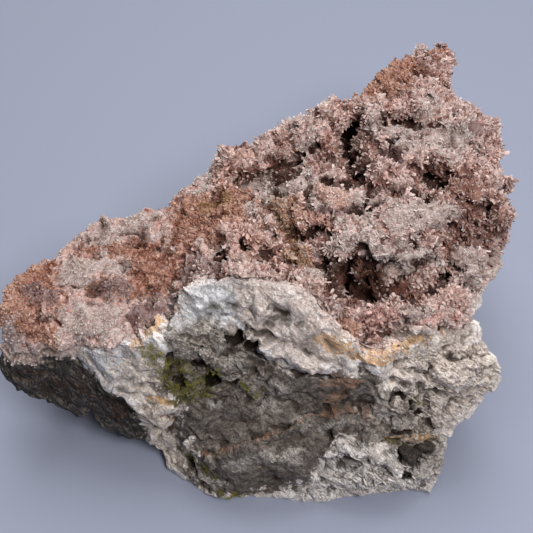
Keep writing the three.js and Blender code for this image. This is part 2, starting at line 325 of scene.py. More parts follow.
def plain_mesh(piece, name):
    """Swaps a piece's live modifiers for the mesh that they make."""
    graph = bpy.context.evaluated_depsgraph_get()
    mesh = bpy.data.meshes.new_from_object(piece.evaluated_get(graph))
    piece.modifiers.clear()
    piece.data = mesh
    mesh.name = name
    return mesh


def even_faces(piece, voxel):
    """Remakes a piece in small even faces with sides of this many millimetres."""
    remesh = piece.modifiers.new("even faces", "REMESH")
    remesh.mode = "VOXEL"
    remesh.voxel_size = voxel * MM
    return plain_mesh(piece, piece.name)


def edge_ends(mesh):
    """The points at the two ends of every edge, as two arrays."""
    edges = np.empty(len(mesh.edges) * 2, np.int32)
    mesh.edges.foreach_get("vertices", edges)
    return edges.reshape(-1, 2).T


def smooth_towards(mesh, rounds):
    """Where the skin would lie if it were smoothed."""
    a, b = edge_ends(mesh)
    count = len(mesh.vertices)
    share = 1.0 + np.bincount(a, minlength=count) + np.bincount(b, minlength=count)
    spot = read(mesh.vertices, "co", 3).astype(np.float64)
    for _ in range(rounds):
        near = spot.copy()
        for axis in range(3):
            near[:, axis] += np.bincount(a, spot[b, axis], count) + np.bincount(b, spot[a, axis], count)
        spot = near / share[:, None]
    return spot


def move_to(mesh, spots):
    """Moves the skin's points, but nothing below the table."""
    spots[:, 2] = np.maximum(spots[:, 2], 0)
    mesh.vertices.foreach_set("co", np.ascontiguousarray(spots, np.float32).ravel())
    mesh.update()


def keep_largest(mesh):
    """Drops every piece of a mesh that isn't joined to its largest one."""
    a, b = edge_ends(mesh)
    label = np.arange(len(mesh.vertices))
    while True:
        low = np.minimum(label[a], label[b])
        before = label.copy()
        np.minimum.at(label, label[a], low)
        np.minimum.at(label, label[b], low)
        label = label[label]
        if (label == before).all():
            break
    shape = bmesh.new()
    shape.from_mesh(mesh)
    loose = label != np.bincount(label).argmax()
    bmesh.ops.delete(shape, geom=[vertex for vertex in shape.verts if loose[vertex.index]], context="VERTS")
    shape.to_mesh(mesh)
    shape.free()


def carve(points, carving):
    """How deep each point is pressed in, in millimetres."""
    deep, raised = np.zeros(len(points)), np.zeros(len(points))
    for reach, depth, path in carving:
        level = np.clip((along(points, reach, path) - 0.3) / 0.4, 0, 1) * depth  # full depth, with sloping sides
        deep, raised = np.maximum(deep, level), np.minimum(raised, level)
    return deep + raised


def value(mesh, name):
    """An attribute that was kept on the mesh."""
    return read(mesh.attributes[name].data, "value")


def settle(mesh, rounds, level):
    """Smooths the skin, each point by its own level."""
    level = level[:, None]
    move_to(mesh, read(mesh.vertices, "co", 3) * (1 - level) + smooth_towards(mesh, rounds) * level)


def fine_skin(node, name, voxel, carving):
    """A copy of a node's solid, carved, in even small faces that can take fine relief."""
    shape = bmesh.new()
    shape.from_mesh(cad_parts[node].data)
    bmesh.ops.remove_doubles(shape, verts=shape.verts, dist=1e-6)
    mesh = bpy.data.meshes.new(name)
    shape.to_mesh(mesh)
    shape.free()
    mesh.materials.clear()
    piece = bpy.data.objects.new(name, mesh)
    bpy.context.scene.collection.objects.link(piece)
    mesh = even_faces(piece, voxel)
    points = read(mesh.vertices, "co", 3)
    depth = carve(points, carving)
    move_to(mesh, points - read(mesh.vertex_normals, "vector", 3) * depth[:, None] * MM)
    carved = KDTree(len(points))
    for i, vertex in enumerate(mesh.vertices):
        carved.insert(vertex.co, i)
    carved.balance()
    mesh = even_faces(piece, voxel)
    keep_largest(mesh)
    depth = depth[[carved.find(vertex.co)[1] for vertex in mesh.vertices]]
    # pit: painted shade in the carved grooves and holes, by their depth
    store(mesh, "pit", np.clip(depth / PIT_DEPTH - 1, 0, 1))
    store(mesh, "cut", np.clip(np.abs(depth) / PIT_DEPTH, 0, 1))
    return piece


def hidden_side(mesh, other):
    """1 where the skin lies face to face with the other solid, where nothing shows."""
    other_faces = solid_faces(other)
    level = np.zeros(len(mesh.vertices), np.float32)
    for i, vertex in enumerate(mesh.vertices):
        spot, facing, _, _ = other_faces.find_nearest(vertex.co, TOUCHING * MM)
        level[i] = spot is not None and facing.dot(vertex.normal) < -0.3
    return level


def store_rim(mesh, other):
    """Keeps how near the other solid is: 1 where they meet, 0 from RIM millimetres away."""
    other_faces = solid_faces(other)
    away = [other_faces.find_nearest(vertex.co, RIM * MM)[3] for vertex in mesh.vertices]
    store(mesh, "rim", [0.0 if distance is None else 1 - distance / (RIM * MM) for distance in away])


def thin_hidden(piece):
    """Merges faces on the hidden side and on the underside until the skin is light enough."""
    group = piece.vertex_groups.new(name="hidden")
    held = np.flatnonzero(value(piece.data, "free") < 0.05)
    group.add([int(i) for i in held], 1.0, "REPLACE")
    triangles = sum(len(p.vertices) - 2 for p in piece.data.polygons)
    thin = piece.modifiers.new("thin", "DECIMATE")
    thin.ratio = min(1.0, MOST_FACES / triangles)
    thin.vertex_group = "hidden"
    thin.vertex_group_factor = 10.0
    mesh = plain_mesh(piece, piece.name)
    piece.vertex_groups.clear()
    mesh.shade_flat()


def per(size):
    """The scale of a pattern whose features are this many millimetres across."""
    return 1 / (size * MM)


def drawn_out(tree, place, run, stretch):
    """A pattern's place, so that the pattern comes out this many times longer along the run."""
    if stretch == 1:
        return place
    run = Vector(run).normalized()
    reach = add(tree, "ShaderNodeVectorMath", {0: place, 1: run * (1 - 1 / stretch)}, operation="DOT_PRODUCT")
    share = add(tree, "ShaderNodeVectorMath", {0: run, "Scale": reach.outputs["Value"]}, operation="SCALE")
    return add(tree, "ShaderNodeVectorMath", {0: place, 1: share}, operation="SUBTRACT")


WARP = [(11.0, 8.0), (4.0, 3.5)]  # size and reach, in millimetres, of a waver that both solids' skins share


def relief_tree(name, layers):
    """Moves the skin along its normal. A layer is (size, reach, form, stretch, run, zone)."""
    tree = bpy.data.node_groups.new(name, "GeometryNodeTree")
    tree.is_modifier = True
    tree.interface.new_socket("Skin", in_out="INPUT", socket_type="NodeSocketGeometry")
    tree.interface.new_socket("Swell", in_out="INPUT", socket_type="NodeSocketFloat")
    tree.interface.new_socket("Skin", in_out="OUTPUT", socket_type="NodeSocketGeometry")
    start = add(tree, "NodeGroupInput")
    place = add(tree, "GeometryNodeInputPosition")
    total = 0.0
    for size, reach, form, stretch, run, zone in layers:
        laid = drawn_out(tree, place, run, stretch)
        if form == "lumps":
            wave = add(tree, "ShaderNodeTexNoise", {"Vector": laid, "Scale": per(size), "Detail": 3.0,
                                                    "Roughness": 0.55})
            wave = add(tree, "ShaderNodeMath", {0: wave.outputs[0], 1: 2.5, 2: -1.25}, operation="MULTIPLY_ADD")
        else:
            wave = add(tree, "ShaderNodeTexVoronoi", {"Vector": laid, "Scale": per(size), "Randomness": 1.0},
                       feature="F1")
        if form == "cells":  # round heads with sharp creases between them
            wave = add(tree, "ShaderNodeMath", {0: wave.outputs["Distance"], 1: 2.0}, operation="POWER")
            wave = add(tree, "ShaderNodeMath", {0: wave, 1: -1.6, 2: 0.5}, operation="MULTIPLY_ADD")
        if form == "gaps":  # dark holes where three heads meet
            wave = add(tree, "ShaderNodeMapRange", {"Value": wave.outputs["Distance"], "From Min": 0.5,
                                                    "From Max": 0.8, "To Max": -1.0}, interpolation_type="SMOOTHSTEP")
        if form == "blocks":  # steps from one broken face to the next
            wave = add(tree, "ShaderNodeSeparateXYZ", {0: wave.outputs["Color"]})
            wave = add(tree, "ShaderNodeMath", {0: wave.outputs[0], 1: 0.5}, operation="SUBTRACT")
        wave = add(tree, "ShaderNodeMath", {0: wave, 1: reach * MM}, operation="MULTIPLY")
        if zone:
            mask = add(tree, "GeometryNodeInputNamedAttribute", {"Name": zone}, data_type="FLOAT")
            mask = add(tree, "ShaderNodeMapRange", {"Value": mask.outputs[0], "From Min": 0.3, "From Max": 0.7})
            wave = add(tree, "ShaderNodeMath", {0: wave, 1: mask}, operation="MULTIPLY")
        total = add(tree, "ShaderNodeMath", {0: total, 1: wave}, operation="ADD")
    free = add(tree, "GeometryNodeInputNamedAttribute", {"Name": "free"}, data_type="FLOAT")
    total = add(tree, "ShaderNodeMath", {0: total, 1: free.outputs[0], 2: start.outputs["Swell"]},
                operation="MULTIPLY_ADD")
    normal = add(tree, "GeometryNodeInputNormal")
    move = add(tree, "ShaderNodeVectorMath", {0: normal, "Scale": total}, operation="SCALE")
    foot = add(tree, "GeometryNodeInputNamedAttribute", {"Name": "foot"}, data_type="FLOAT")
    for size, reach in WARP:
        wave = add(tree, "ShaderNodeTexNoise", {"Vector": place, "Scale": per(size), "Detail": 2.0}).outputs["Color"]
        wave = add(tree, "ShaderNodeVectorMath", {0: wave, 1: (0.5, 0.5, 0.5)}, operation="SUBTRACT")
        share = add(tree, "ShaderNodeMath", {0: foot.outputs[0], 1: reach * MM}, operation="MULTIPLY")
        wave = add(tree, "ShaderNodeVectorMath", {0: wave, "Scale": share}, operation="SCALE")
        move = add(tree, "ShaderNodeVectorMath", {0: move, 1: wave}, operation="ADD")
    moved = add(tree, "GeometryNodeSetPosition", {"Geometry": start.outputs["Skin"], "Offset": move})
    add(tree, "NodeGroupOutput", {0: moved})
    return tree


def run_tree(piece, tree, **inputs):
    """Runs a node tree on a piece, with its inputs set by their sockets' identifiers."""
    live = piece.modifiers.new(tree.name, "NODES")
    live.node_group = tree
    for socket in tree.interface.items_tree:
        key = socket.name.lower().replace(" ", "_")
        if getattr(socket, "in_out", "") == "INPUT" and key in inputs:
            live[socket.identifier] = inputs[key]
    return plain_mesh(piece, piece.name)


def store_relief(mesh):
    """Keeps how far each point stands above its surroundings, for painted shade in creases and hollows and a painted
    highlight on convex edges.
    """
    spots = read(mesh.vertices, "co", 3)
    normals = read(mesh.vertex_normals, "vector", 3)
    for name, rounds, reach in (("edge", 10, 0.5), ("hollow", 120, 2.2)):
        height = ((spots - smooth_towards(mesh, rounds)) * normals).sum(1) / (reach * MM)
        store(mesh, name, np.clip(height * 0.5 + 0.5, 0, 1))


rock = fine_skin("matrix", "calcite_rock", ROCK_VOXEL, ROCK_CARVING)
store_zones(rock.data, ROCK_ZONES)
# weathering wore the front face down between its grooves and holes
worn_down = np.clip(value(rock.data, "weathered"), 0, 0.75) * (1 - value(rock.data, "cut"))
settle(rock.data, rounds=90, level=worn_down)
foot = np.clip(read(rock.data.vertices, "co", 3)[:, 2] / (FOOT * MM), 0, 1)
store(rock.data, "foot", foot)
store(rock.data, "free", foot * (1 - hidden_side(rock.data, "crystal_crust")))
store_rim(rock.data, "crystal_crust")
store(rock.data, "back", np.clip(0.5 + 1.6 * read(rock.data.vertex_normals, "vector", 3)[:, 1], 0, 1))
# size and reach in millimetres, form, how drawn out, along, zone
SHARED_RELIEF = [
    (20.0, 1.5, "lumps", 1, None, None),
    (8.0, 0.9, "lumps", 1, None, None),
]
ROCK_RELIEF = [
    (8.0, 2.2, "blocks", 1.6, (1, 0, 0.6), "craggy"),
    (3.0, 1.3, "blocks", 2.5, (1, -0.2, -0.5), "craggy"),
    (6.0, 0.8, "blocks", 2.5, (0.6, -0.6, -0.6), None),
    (2.6, 0.5, "lumps", 2, (0.7, -0.3, -0.5), None),
    (2.0, 1.2, "blocks", 6, (0.7, -0.3, -0.65), "fan"),
    (2.2, 0.9, "blocks", 5, (0.85, -0.2, -0.45), "knob"),
    (1.9, 0.6, "blocks", 4, (0.75, -0.35, -0.55), "chalk"),
    (13.0, 2.2, "blocks", 1.3, (1, 0, 0.4), "back"),
]
SWELL = 0.3  # both skins lie this far out, so that they close over the seam between the solids
run_tree(rock, relief_tree("broken rock", SHARED_RELIEF + ROCK_RELIEF), swell=SWELL * MM)
settle(rock.data, rounds=2, level=0.4 * np.maximum(value(rock.data, "chalk"), value(rock.data, "cream")))
thin_hidden(rock)
store_relief(rock.data)


def linear(code):
    """A colour's sRGB hex code as the linear RGBA that the nodes take."""
    channels = [int(code[i:i + 2], 16) / 255 for i in (0, 2, 4)]
    return tuple(c / 12.92 if c <= 0.04045 else ((c + 0.055) / 1.055) ** 2.4 for c in channels) + (1.0,)


def new_finish(name):
    """A material with an empty node tree."""
    material = bpy.data.materials.new(name)
    material.use_nodes = True
    material.node_tree.nodes.clear()
    return material, material.node_tree


def lay(tree, tone, level, low, high, amount, colour):
    """Lays a colour over a tone, from none of it where the level is low to this amount where it is high."""
    mask = add(tree, "ShaderNodeMapRange", {"Value": level, "From Min": low, "From Max": high, "To Max": amount})
    return add(tree, "ShaderNodeMix", {0: mask, 6: tone, 7: colour}, data_type="RGBA").outputs[2]


# size in millimetres, from and to which height of the noise a patch fades in, how much it covers
GROUND_PATCHES = [(7.0, 0.42, 0.58, 1.0), (13.0, 0.48, 0.6, 0.9), (3.1, 0.5, 0.62, 0.7)]


def mineral(name, ground, zones, lines, speckle, edge_highlight, edge, hollow, pit, roughness, gloss, bump):
    """A mineral surface: ground tones in patches, a painted highlight on convex edges, then zones with ragged edges
    and flecks, dark speckles, thin lines along the grain, and painted shade in creases, hollows and carved holes."""
    material, tree = new_finish(name)
    place = add(tree, "ShaderNodeTexCoord").outputs["Object"]
    marks = {mark: add(tree, "ShaderNodeAttribute", attribute_name=mark).outputs["Fac"]
             for mark in ["edge", "hollow", "pit"] + [row[0] for row in zones]}

    def patches(size, low, high, amount=1.0, detail=4.0, rough=0.6):
        """A mask of cloudy patches, this many millimetres across."""
        wave = add(tree, "ShaderNodeTexNoise", {"Vector": place, "Scale": per(size), "Detail": detail,
                                                "Roughness": rough})
        return add(tree, "ShaderNodeMapRange", {"Value": wave.outputs[0], "From Min": low, "From Max": high,
                                                "To Max": amount})

    tone = linear(ground[0])
    for patch, colour in zip(GROUND_PATCHES, ground[1:]):
        tone = add(tree, "ShaderNodeMix", {0: patches(*patch), 6: tone, 7: linear(colour)},
                   data_type="RGBA").outputs[2]
    # painted highlight on convex edges
    low, high, colour, amount = edge_highlight
    tone = lay(tree, tone, marks["edge"], low, high, amount, linear(colour))
    fleck = patches(0.8, 0.5, 0.58, 1.0, 2.0, 0.8)
    ragged = patches(2.6, 0.25, 0.75, 1.1, 5.0, 0.7)
    for zone, first, second, amount, flecks, share in zones:
        patch = add(tree, "ShaderNodeMix", {0: patches(2.4, 0.4, 0.6), 6: linear(first), 7: linear(second)},
                    data_type="RGBA").outputs[2]
        if share:
            some = add(tree, "ShaderNodeMath", {0: fleck, 1: share}, operation="MULTIPLY")
            patch = add(tree, "ShaderNodeMix", {0: some, 6: patch, 7: linear(flecks)}, data_type="RGBA").outputs[2]
        near = add(tree, "ShaderNodeMath", {0: marks[zone], 1: ragged}, operation="ADD")
        tone = lay(tree, tone, near, 0.95, 1.15, amount, patch)
    size, dark, amount = speckle
    speckles = patches(size, 0.56, 0.64, amount, 2.0, 0.7)
    tone = add(tree, "ShaderNodeMix", {0: speckles, 6: tone, 7: linear(dark)}, data_type="RGBA").outputs[2]
    grit, height_of_grit = bump
    height = patches(grit, 0.0, 1.0, 1.0, 3.0, 0.7)
    for zone, size, stretch, run, colour, amount, cut in lines:  # a line lies where the noise passes its middle
        wave = add(tree, "ShaderNodeTexNoise", {"Vector": drawn_out(tree, place, run, stretch), "Scale": per(size),
                                                "Detail": 3.0, "Roughness": 0.6})
        away = add(tree, "ShaderNodeMath", {0: wave.outputs[0], 1: 0.5}, operation="SUBTRACT")
        away = add(tree, "ShaderNodeMath", {0: away}, operation="ABSOLUTE")
        mask = add(tree, "ShaderNodeMapRange", {"Value": away, "From Min": 0.035, "From Max": 0.01, "To Max": amount})
        if zone:
            mask = add(tree, "ShaderNodeMath", {0: mask, 1: marks[zone]}, operation="MULTIPLY")
        tone = add(tree, "ShaderNodeMix", {0: mask, 6: tone, 7: linear(colour)}, data_type="RGBA").outputs[2]
        height = add(tree, "ShaderNodeMath", {0: mask, 1: cut, 2: height}, operation="MULTIPLY_ADD")
    # painted shade: dark in fine creases (edge), in hollows (hollow) and in carved grooves and holes (pit)
    for mark, low, high, colour, amount in (("edge", *edge), ("hollow", *hollow), ("pit", 0.05, 0.6, pit, 0.88)):
        tone = lay(tree, tone, marks[mark], low, high, amount, linear(colour))
    relief = add(tree, "ShaderNodeBump", {"Height": height, "Distance": height_of_grit * MM, "Strength": 1.0})
    shader = add(tree, "ShaderNodeBsdfPrincipled", {"Base Color": tone, "Roughness": roughness, "Normal": relief,
                                                    "Specular IOR Level": gloss})
    add(tree, "ShaderNodeOutputMaterial", {"Surface": shader})
    return material


# Massive calcite broken across its fibres: matt, chalky, with painted shade in its creases, hollows and holes.
fibrous_calcite = mineral(
    "fibrous_calcite",
    ground=("ebe0da", "d8ccc6", "e4d2c0", "f3ebe8"),
    # zone, its two tones, how much they cover, its flecks, how much they cover
    zones=[
        # underside: its own dark rock, and painted shade under the overhanging wing
        ("underside", "101113", "202124", 0.97, "39393b", 0.3),
        ("rim", "efdcd4", "e3c4b9", 0.8, "c9a091", 0.4),
        ("knob", "f7eae2", "e2d1c5", 0.85, "9d8a7c", 0.55),
        ("chalk", "e8e9ec", "d2d3d8", 0.9, "a39da0", 0.4),
        ("cream", "ece0da", "dccac1", 0.9, "b39d92", 0.45),
        ("buttress", "f6e7d9", "e0cebf", 0.8, "8f7d6e", 0.5),
        ("weathered", "352d29", "574d47", 0.94, "8f847b", 0.35),
        ("fibrous", "8f867e", "bdb5ad", 0.7, "4a403a", 0.5),
        ("umber", "35251f", "4d362c", 0.8, None, 0),
        ("slate", "6f6a64", "96918a", 0.8, "3f3a36", 0.4),
        ("craggy", "52483f", "bcb0a6", 0.7, "dcd2ca", 0.4),
        ("fan", "f5f0ed", "d6ceca", 0.85, "83766e", 0.5),
        ("rusty", "8d6752", "ad8973", 0.8, "5d463a", 0.3),
        ("ochre", "c78d50", "dcb27c", 0.8, "ecd6b8", 0.4),
        ("mossy", "44421f", "6c683a", 0.7, "26240f", 0.5),
    ],
    # zone, spacing in millimetres, how drawn out, along, colour, how much, how high
    lines=[
        (None, 2.2, 4, (0.6, -0.5, -0.5), "8a7c72", 0.55, -0.5),
        ("knob", 1.6, 7, (0.85, -0.2, -0.45), "5f4f43", 0.75, -0.6),
        ("fan", 1.6, 9, (0.7, -0.3, -0.65), "51453d", 0.75, -0.6),
        ("craggy", 2.4, 3, (1, -0.2, -0.5), "3d342e", 0.7, -0.6),
        ("weathered", 2.2, 3, (0.8, 0, 0.3), "a89e96", 0.3, 0.4),
        ("weathered", 1.1, 2.5, (0.8, 0.1, 0.4), "231c19", 0.45, -0.5),
        ("fibrous", 1.3, 5, (0.6, -0.2, -0.7), "e3ddd6", 0.7, 0.5),
        ("underside", 3.0, 5, (1, -0.3, 0), "434347", 0.45, 0.5),
        ("chalk", 4.0, 3, (0.5, 0.6, -0.5), "a9a2a2", 0.4, -0.4),
        ("chalk", 1.5, 6, (0.75, -0.35, -0.55), "a59b98", 0.5, -0.5),
        ("cream", 1.5, 7, (0.8, -0.3, -0.5), "a08b80", 0.6, -0.5),
    ],
    speckle=(0.9, "4d4038", 0.45),
    # painted highlight on convex edges, then painted shade in creases, hollows and carved holes
    edge_highlight=(0.58, 0.85, "f9f5f1", 0.5),
    edge=(0.38, 0.0, "4a3e35", 0.7),
    hollow=(0.4, 0.05, "332a24", 0.8),
    pit="241b16",
    roughness=0.9,
    gloss=0.12,
    bump=(0.6, 0.22),
)
rock.data.materials.append(fibrous_calcite)
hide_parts("matrix")
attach(rock, "root")

# --- Crystal crust -----------------------------------------------------------------------------
# Pink calcite that grew over the rock: a thick, cavernous mass of blades on the right and a sheet of
# rusty druse on the wing, with sugary white patches between.

CRUST_VOXEL = 0.65  # side of the skin's small even faces
MASS_EDGE, MASS_FADE = -26.0, 20.0  # X where the thick mass gives way to the thin wing, and over how far
SUGAR_PATCH = 9.0  # size of the sugary patches
CRUST_ZONES = {
    "rust": [
        (0, [(-20, 330), (-20, 290), (20, 262), (42, 258), (62, 272), (58, 290), (68, 312), (42, 310), (10, 320)]),
        (0, [(70, 252), (100, 246), (130, 238), (168, 250), (176, 274), (168, 300), (120, 302), (92, 290),
             (90, 280), (126, 284), (132, 262), (100, 256), (74, 262)]),
        (0, [(184, 196), (215, 190), (252, 190), (254, 215), (226, 222), (214, 244), (192, 240), (180, 256),
             (168, 236)]),
        (3, [(140, 206), (155, 202), (170, 202)]),
        (0, [(356, 96), (366, 84), (388, 64), (412, 58), (414, 76), (392, 92), (372, 102)]),
        (3, [(22, 328), (45, 336)]),
        (3, [(340, 332), (352, 326)]),
        (2, [(420, 60), (440, 48)]),
    ],
    "frost": [
        (0, [(62, 262), (78, 258), (108, 258), (128, 264), (124, 282), (98, 278), (76, 290), (62, 282)]),
        (0, [(56, 318), (72, 306), (100, 302), (118, 296), (126, 314), (122, 334), (90, 340), (56, 336)]),
        (0, [(82, 240), (104, 226), (128, 214), (158, 214), (164, 232), (130, 238), (100, 246), (84, 250)]),
        (4, [(195, 165), (205, 178), (200, 190)]),
        (0, [(256, 190), (268, 176), (290, 168), (318, 172), (338, 188), (336, 214), (318, 206), (290, 198),
             (262, 200)]),
        (0, [(328, 196), (356, 186), (366, 196), (376, 212), (366, 226), (340, 222)]),
        (0, [(378, 212), (402, 200), (440, 198), (464, 200), (458, 222), (424, 230), (396, 228)]),
        (0, [(326, 236), (350, 228), (380, 230), (410, 244), (436, 246), (440, 262), (420, 276), (388, 272),
             (366, 258), (338, 246)]),
        (0, [(364, 104), (376, 106), (384, 130), (380, 144), (370, 136)]),
        (0, [(378, 144), (396, 118), (440, 118), (480, 122), (478, 150), (440, 158), (404, 152)]),
        (0, [(418, 96), (440, 96), (444, 114), (422, 118)]),
        (0, [(300, 124), (312, 122), (314, 160), (304, 164)]),
        (3, [(230, 262), (240, 258)]),
        (2, [(248, 206), (254, 214)]),
        (2, [(232, 232), (238, 246)]),
        (0, [(456, 252), (478, 246), (488, 268), (476, 290), (458, 284)]),
        (0, [(396, 308), (416, 300), (440, 304), (446, 322), (430, 334), (402, 330)]),
        (3, [(318, 277), (325, 272)]),
        (3, [(4, 330), (10, 340)]),
    ],
    "brown": [
        (0, [(236, 186), (244, 168), (270, 162), (300, 160), (300, 170), (270, 176), (258, 188), (244, 194)]),
        (0, [(342, 142), (352, 124), (362, 120), (370, 150), (372, 166), (350, 184), (332, 182), (350, 164)]),
        (0, [(318, 140), (340, 138), (346, 152), (342, 168), (322, 170)]),
        (0, [(414, 178), (424, 160), (446, 160), (470, 172), (500, 196), (506, 222), (496, 246), (470, 246),
             (452, 266), (440, 246), (420, 244), (440, 222), (462, 220), (464, 198), (432, 194)]),
        (0, [(330, 262), (352, 258), (384, 276), (420, 282), (434, 284), (422, 304), (380, 302), (340, 296)]),
        (0, [(240, 256), (262, 256), (276, 262), (268, 274), (244, 268)]),
        (0, [(204, 268), (222, 262), (232, 276), (226, 288), (208, 284)]),
        (3, [(320, 226), (326, 240)]),
        (2, [(368, 203), (374, 206)]),
        (3, [(424, 72), (436, 58)]),
        (3, [(300, 236), (312, 226)]),
    ],
    # deep: painted shade over the darkest caverns of the mass
    "deep": [
        (0, [(318, 286), (332, 268), (350, 260), (384, 274), (404, 284), (420, 286), (400, 300), (350, 304),
             (326, 298)]),
        (0, [(240, 188), (246, 176), (268, 167), (292, 162), (298, 170), (276, 179), (256, 189)]),
        (2.2, [(346, 136), (352, 130), (360, 124)]),
        (2.6, [(330, 180), (344, 182), (356, 176), (366, 168)]),
        (2.0, [(270, 208), (278, 220)]),
        (1.6, [(288, 206), (292, 216)]),
        (1.6, [(284, 228), (294, 234)]),
        (1.6, [(316, 232), (326, 240), (328, 252)]),
        (1.6, [(268, 226), (274, 236)]),
        (2.0, [(450, 270), (440, 282), (428, 298)]),
        (1.6, [(500, 200), (506, 214)]),
    ],
    "honey": [
        (0, [(266, 200), (296, 198), (302, 222), (296, 240), (278, 238), (268, 222)]),
        (3, [(205, 205), (225, 202)]),
        (3, [(290, 248), (304, 258)]),
        (2, [(310, 266), (318, 272)]),
        (1.6, [(296, 138), (303, 144)]),
        (1.4, [(75, 270), (82, 268)]),
        (2, [(504, 200), (508, 212)]),
    ],
    "lilac": [
        (0, [(122, 306), (140, 300), (172, 300), (162, 328), (140, 336), (124, 330)]),
        (4, [(200, 255), (215, 275)]),
        (3, [(196, 262), (190, 275)]),
        (3, [(30, 290), (50, 300)]),
        (3, [(104, 290), (122, 292)]),
        (3, [(468, 126), (476, 128)]),
        (2.4, [(384, 150), (396, 154)]),
        (2.4, [(326, 214), (340, 210)]),
    ],
    "rose": [
        (3.5, [(375, 320), (388, 318)]),
        (3, [(418, 325), (440, 318)]),
    ],
    "salmon": [
        (0, [(226, 226), (244, 220), (262, 228), (274, 250), (270, 258), (244, 258), (228, 256)]),
        (3, [(300, 215), (320, 224)]),
        (3, [(326, 188), (338, 198)]),
        (2.4, [(214, 176), (230, 166), (246, 158)]),
    ],
    "fans": [
        (2.4, [(214, 176), (230, 166), (248, 158)]),
        (2.0, [(232, 232), (250, 226), (266, 236)]),
        (1.6, [(318, 148), (322, 164)]),
        (1.6, [(428, 262), (438, 252), (450, 240)]),
        (1.6, [(462, 106), (476, 112)]),
        (1.6, [(404, 264), (420, 272)]),
    ],
}
CRUST_CARVING = [
    (3.2, 6.0, [(246, 186), (256, 180), (268, 174), (282, 168), (296, 165)]),
    (2.6, 7.0, [(352, 132), (356, 146), (360, 160), (361, 172)]),
    (1.6, 5.0, [(343, 141), (350, 130), (360, 122)]),
    (2.8, 6.0, [(330, 180), (342, 182), (354, 178), (366, 170)]),
    (2.2, 5.0, [(420, 168), (428, 174), (440, 187)]),
    (1.8, 4.0, [(424, 164), (436, 164)]),
    (1.8, 4.0, [(368, 203), (378, 204), (390, 200)]),
    (1.3, 2.5, [(410, 192), (422, 198)]),
    (1.3, 2.5, [(458, 202), (472, 203)]),
    (1.8, 3.5, [(426, 236), (436, 232)]),
    (1.8, 3.5, [(446, 254), (454, 249), (464, 244)]),
    (1.6, 3.0, [(452, 262), (462, 267)]),
    (2.0, 4.5, [(450, 272), (440, 280), (430, 292), (424, 302)]),
    (4.2, 8.0, [(340, 268), (352, 276), (366, 274), (380, 282)]),
    (3.0, 6.0, [(338, 284), (352, 292), (372, 296)]),
    (1.8, 3.5, [(314, 232), (324, 236), (328, 246), (322, 256)]),
    (1.4, 2.5, [(286, 240), (300, 240)]),
    (1.5, 3.5, [(271, 210), (279, 219)]),
    (1.3, 3.0, [(288, 207), (292, 215)]),
    (1.3, 3.0, [(285, 228), (293, 233)]),
    (1.3, 2.5, [(268, 227), (274, 236)]),
    (1.3, 3.0, [(302, 222), (310, 228)]),
    (1.6, 3.5, [(220, 248), (222, 260)]),
    (1.4, 2.5, [(234, 241), (241, 246)]),
    (1.6, 3.5, [(218, 274), (222, 284)]),
    (1.2, 2.5, [(238, 206), (247, 202)]),
    (1.2, 2.5, [(208, 214), (230, 214)]),
    (1.5, 3.0, [(488, 212), (496, 208)]),
    (1.2, 2.5, [(470, 222), (486, 230)]),
    (1.2, 2.5, [(388, 122), (396, 125)]),
    (1.0, 2.0, [(422, 127), (430, 123), (440, 125)]),
    (1.2, 2.5, [(274, 150), (272, 158)]),
    (3.0, -2.2, [(146, 320), (156, 314), (163, 305)]),
    (2.2, -3.6, [(368, 108), (373, 122), (378, 140)]),
    (1.8, -2.8, [(324, 130), (328, 146), (334, 166)]),
    (2.2, -2.6, [(244, 176), (258, 166), (274, 154), (288, 146)]),
    (2.6, -2.8, [(300, 128), (304, 144), (306, 160)]),
    (3.6, -2.8, [(380, 172), (396, 176), (408, 184)]),
    (1.8, -2.8, [(386, 112), (404, 116), (424, 112)]),
    (1.8, -2.8, [(390, 134), (412, 138), (434, 132), (456, 122)]),
    (1.6, -2.6, [(402, 148), (424, 143), (446, 140)]),
    (1.4, -2.4, [(436, 242), (431, 254), (434, 264)]),
    (1.8, -2.8, [(398, 292), (414, 282), (430, 272), (442, 262)]),
    (2.2, -2.8, [(334, 250), (346, 238), (362, 236), (376, 244)]),
    (1.6, -2.0, [(230, 232), (236, 244), (232, 256)]),
    (1.6, -2.0, [(248, 232), (256, 240), (254, 252)]),
    (1.4, -2.5, [(224, 156), (232, 166), (238, 174)]),
    (1.4, -2.5, [(244, 152), (246, 162)]),
    (1.8, -1.6, [(118, 300), (122, 316), (120, 330)]),
]


crust = fine_skin("crystal_crust", "pink_crust", CRUST_VOXEL, CRUST_CARVING)
store_zones(crust.data, CRUST_ZONES)
crust_points = read(crust.data.vertices, "co", 3)
store(crust.data, "foot", np.ones(len(crust_points)))
store(crust.data, "free", 1 - hidden_side(crust.data, "matrix"))
store_rim(crust.data, "matrix")
store(crust.data, "mass", np.clip(0.5 + (crust_points[:, 0] / MM - MASS_EDGE) / MASS_FADE, 0, 1))
compact = np.maximum(value(crust.data, "frost"), value(crust.data, "rust"))
store(crust.data, "cavernous", value(crust.data, "mass") * (1 - 0.7 * compact))
settle(crust.data, rounds=30, level=0.8 * (1 - value(crust.data, "mass")))  # the sheet on the wing is even
store(crust.data, "sugar", np.clip(0.5 + 1.6 * waves(crust_points, SUGAR_PATCH), 0, 1))
CRUST_RELIEF = [
    (11.0, 2.8, "cells", 1, None, "cavernous"),
    (5.0, 2.2, "gaps", 1, None, "cavernous"),
    (4.0, 1.0, "cells", 1, None, None),
    (2.0, 0.9, "blocks", 3, (0.5, 0.6, 0.6), None),
]
run_tree(crust, relief_tree("grown crystals", SHARED_RELIEF + CRUST_RELIEF), swell=SWELL * MM)
settle(crust.data, rounds=14, level=value(crust.data, "frost") * (0.75 - 0.5 * value(crust.data, "mass")))
thin_hidden(crust)
store_relief(crust.data)

